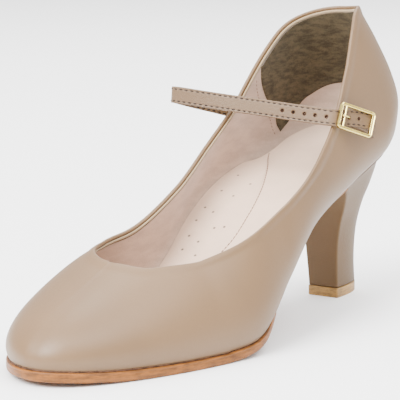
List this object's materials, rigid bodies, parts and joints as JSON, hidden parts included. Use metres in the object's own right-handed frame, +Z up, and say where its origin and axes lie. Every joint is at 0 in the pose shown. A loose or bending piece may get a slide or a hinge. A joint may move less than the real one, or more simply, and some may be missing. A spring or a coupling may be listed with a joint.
{
  "type": "character shoe",
  "caption": "Left low-cut character shoe: almond toe, covered curved high heel, leather sole and a buckled strap over the instep",
  "frame": {"origin": "middle of the underside of the heel's top lift, on the floor", "axes": "+X from the heel to the toe, +Y to the outer side of the left foot, where the buckle is, +Z up"},
  "size_m": [0.2299, 0.086, 0.1277],
  "materials": {
    "upper_leather": "smooth, semi-matte",
    "lining_suede": "matte suede",
    "sole_leather": "smooth, waxed edge",
    "heel_cover": "smooth, semi-matte",
    "top_lift": "matte",
    "strap_leather": "smooth, semi-matte",
    "buckle_metal": "polished"
  },
  "bodies": {
    "root": {"upper": "upper_leather", "insole": "lining_suede", "outsole": "sole_leather", "heel": "heel_cover", "top_lift": "top_lift", "strap": "strap_leather", "buckle_tab": "strap_leather", "buckle_frame": "buckle_metal", "buckle_prong": "buckle_metal"}
  },
  "joints": []
}
